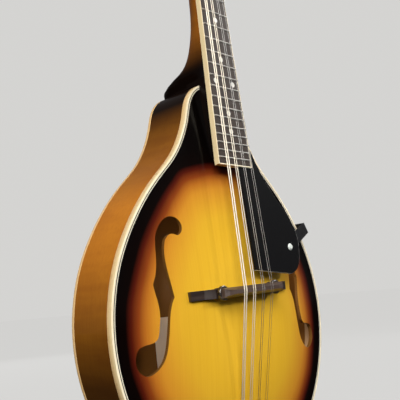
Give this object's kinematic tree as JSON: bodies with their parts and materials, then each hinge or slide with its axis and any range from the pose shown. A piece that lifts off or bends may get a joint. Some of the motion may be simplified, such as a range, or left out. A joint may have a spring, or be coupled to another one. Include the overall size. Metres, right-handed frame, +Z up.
{
  "type": "mandolin",
  "caption": "Teardrop-bodied mandolin with an arched top, f-holes, an adjustable bridge, a pickguard and geared tuners that turn.",
  "frame": {"origin": "middle of the nut's lower edge, on the fretboard's surface, where a hanger's yoke holds the neck just above", "axes": "+Z up along the body towards the headstock, front towards -Y, bass side towards -X; the body's rim stands in planes of constant Y and the neck leans back from them by 3.67 degrees"},
  "size_m": [0.2568, 0.0966, 0.6722],
  "materials": {
    "spruce_sunburst": "gloss sunburst, near-black edge to golden centre",
    "back_wood": "gloss amber brown",
    "rib_wood": "gloss amber, darker at the heel",
    "neck_wood": "gloss amber, fading to black at heel and head",
    "inner_wood": "bare wood",
    "cream_binding": "aged cream",
    "purfling": "black and white lines",
    "black_plastic": "black",
    "guard_plastic": "satin black",
    "rosewood": "satin dark brown",
    "bridge_wood": "satin dark brown",
    "head_veneer": "gloss black",
    "nickel_silver": "polished",
    "pearl": "pearl",
    "bone": "bone white",
    "steel": "plain",
    "brass": "plain",
    "nickel": "nickel plated",
    "gunmetal": "dark plated",
    "black_metal": "satin black",
    "wound_string": "phosphor bronze winding",
    "plain_string": "plain steel",
    "key": "cream button on a nickel worm shaft"
  },
  "bodies": {
    "key_1": {"tuner_key_1": "key"},
    "post_1": {"tuner_post_1": "nickel"},
    "key_2": {"tuner_key_2": "key"},
    "post_2": {"tuner_post_2": "nickel"},
    "key_3": {"tuner_key_3": "key"},
    "post_3": {"tuner_post_3": "nickel"},
    "key_4": {"tuner_key_4": "key"},
    "post_4": {"tuner_post_4": "nickel"},
    "key_5": {"tuner_key_5": "key"},
    "post_5": {"tuner_post_5": "nickel"},
    "key_6": {"tuner_key_6": "key"},
    "post_6": {"tuner_post_6": "nickel"},
    "key_7": {"tuner_key_7": "key"},
    "post_7": {"tuner_post_7": "nickel"},
    "key_8": {"tuner_key_8": "key"},
    "post_8": {"tuner_post_8": "nickel"},
    "saddle": {"saddle": "bridge_wood"},
    "wheel_bass": {"thumbwheel_bass": "gunmetal"},
    "wheel_treble": {"thumbwheel_treble": "gunmetal"},
    "tail_cover": {"tailpiece_cover": "nickel"},
    "truss_nut": {"truss_rod_nut": "brass"},
    "frame": {"soundboard": "spruce_sunburst", "back_plate": "back_wood", "rib_bass": "rib_wood", "rib_treble": "rib_wood", "neck": "neck_wood", "top_linings": "inner_wood", "back_linings": "inner_wood", "neck_block": "inner_wood", "tail_block": "inner_wood", "tone_bars": "inner_wood", "top_binding": "cream_binding", "back_binding": "cream_binding", "fretboard_binding": "cream_binding", "top_purfling": "purfling", "end_pin": "black_plastic", "truss_rod_cover": "black_plastic", "pickguard": "guard_plastic", "fretboard": "rosewood", "bridge_base": "bridge_wood", "headstock_veneer": "head_veneer", "frets": "nickel_silver", "position_dots": "pearl", "nut": "bone", "truss_rod": "steel", "truss_cover_screws": "nickel", "tuner_screws": "nickel", "post_bushings": "nickel", "pickguard_screws": "nickel", "tailpiece_screws": "nickel", "tuner_plate_bass": "nickel", "tuner_plate_treble": "nickel", "bridge_studs": "steel", "tailpiece_base": "nickel", "pickguard_bracket": "black_metal", "course_g": "wound_string", "course_d": "wound_string", "course_a": "plain_string", "course_e": "plain_string"}
  },
  "joints": [
    {"name": "key_1_turn", "type": "hinge", "parent": "frame", "child": "key_1", "pos_m": [-0.0185, 0.02799, 0.02143], "axis": [1, 0, 0], "continuous": true},
    {"name": "post_1_turn", "type": "hinge", "parent": "frame", "child": "post_1", "pos_m": [-0.0185, 0.01129, 0.03393], "axis": [0, 0.9528, -0.3035], "continuous": true},
    {"name": "key_2_turn", "type": "hinge", "parent": "frame", "child": "key_2", "pos_m": [-0.0185, 0.03509, 0.04372], "axis": [1, 0, 0], "continuous": true},
    {"name": "post_2_turn", "type": "hinge", "parent": "frame", "child": "post_2", "pos_m": [-0.0185, 0.0184, 0.05622], "axis": [0, 0.9528, -0.3035], "continuous": true},
    {"name": "key_3_turn", "type": "hinge", "parent": "frame", "child": "key_3", "pos_m": [-0.0185, 0.04219, 0.06602], "axis": [1, 0, 0], "continuous": true},
    {"name": "post_3_turn", "type": "hinge", "parent": "frame", "child": "post_3", "pos_m": [-0.0185, 0.0255, 0.07852], "axis": [0, 0.9528, -0.3035], "continuous": true},
    {"name": "key_4_turn", "type": "hinge", "parent": "frame", "child": "key_4", "pos_m": [-0.0185, 0.0493, 0.08831], "axis": [1, 0, 0], "continuous": true},
    {"name": "post_4_turn", "type": "hinge", "parent": "frame", "child": "post_4", "pos_m": [-0.0185, 0.0326, 0.10081], "axis": [0, 0.9528, -0.3035], "continuous": true},
    {"name": "key_5_turn", "type": "hinge", "parent": "frame", "child": "key_5", "pos_m": [0.0185, 0.02799, 0.02143], "axis": [1, 0, 0], "continuous": true},
    {"name": "post_5_turn", "type": "hinge", "parent": "frame", "child": "post_5", "pos_m": [0.0185, 0.01129, 0.03393], "axis": [0, 0.9528, -0.3035], "continuous": true},
    {"name": "key_6_turn", "type": "hinge", "parent": "frame", "child": "key_6", "pos_m": [0.0185, 0.03509, 0.04372], "axis": [1, 0, 0], "continuous": true},
    {"name": "post_6_turn", "type": "hinge", "parent": "frame", "child": "post_6", "pos_m": [0.0185, 0.0184, 0.05622], "axis": [0, 0.9528, -0.3035], "continuous": true},
    {"name": "key_7_turn", "type": "hinge", "parent": "frame", "child": "key_7", "pos_m": [0.0185, 0.04219, 0.06602], "axis": [1, 0, 0], "continuous": true},
    {"name": "post_7_turn", "type": "hinge", "parent": "frame", "child": "post_7", "pos_m": [0.0185, 0.0255, 0.07852], "axis": [0, 0.9528, -0.3035], "continuous": true},
    {"name": "key_8_turn", "type": "hinge", "parent": "frame", "child": "key_8", "pos_m": [0.0185, 0.0493, 0.08831], "axis": [1, 0, 0], "continuous": true},
    {"name": "post_8_turn", "type": "hinge", "parent": "frame", "child": "post_8", "pos_m": [0.0185, 0.0326, 0.10081], "axis": [0, 0.9528, -0.3035], "continuous": true},
    {"name": "saddle_height", "type": "slide", "parent": "frame", "child": "saddle", "axis": [0, -1, 0], "range_m": [-0.0008, 0.002], "deforming": ["course_g", "course_d", "course_a", "course_e"]},
    {"name": "bass_wheel_turn", "type": "hinge", "parent": "saddle", "child": "wheel_bass", "pos_m": [-0.03298, -0.018, -0.35525], "axis": [0, -1, 0], "range_deg": [-361, 901]},
    {"name": "treble_wheel_turn", "type": "hinge", "parent": "saddle", "child": "wheel_treble", "pos_m": [0.03298, -0.018, -0.35295], "axis": [0, -1, 0], "range_deg": [-361, 901]},
    {"name": "tail_cover_slide", "type": "slide", "parent": "frame", "child": "tail_cover", "axis": [0, 0, 1], "range_m": [0, 0.007]},
    {"name": "truss_nut_turn", "type": "hinge", "parent": "frame", "child": "truss_nut", "pos_m": [0, 0.00916, 0.00843], "axis": [0, 0.064, 0.9979], "range_deg": [-180, 180]}
  ],
  "couplings": [
    {"joint": "post_1_turn", "follows": "key_1_turn", "ratio": 0.071429},
    {"joint": "post_2_turn", "follows": "key_2_turn", "ratio": 0.071429},
    {"joint": "post_3_turn", "follows": "key_3_turn", "ratio": 0.071429},
    {"joint": "post_4_turn", "follows": "key_4_turn", "ratio": 0.071429},
    {"joint": "post_5_turn", "follows": "key_5_turn", "ratio": -0.071429},
    {"joint": "post_6_turn", "follows": "key_6_turn", "ratio": -0.071429},
    {"joint": "post_7_turn", "follows": "key_7_turn", "ratio": -0.071429},
    {"joint": "post_8_turn", "follows": "key_8_turn", "ratio": -0.071429},
    {"joint": "bass_wheel_turn", "follows": "saddle_height", "rad_per_m": 7854},
    {"joint": "treble_wheel_turn", "follows": "saddle_height", "rad_per_m": 7854}
  ]
}
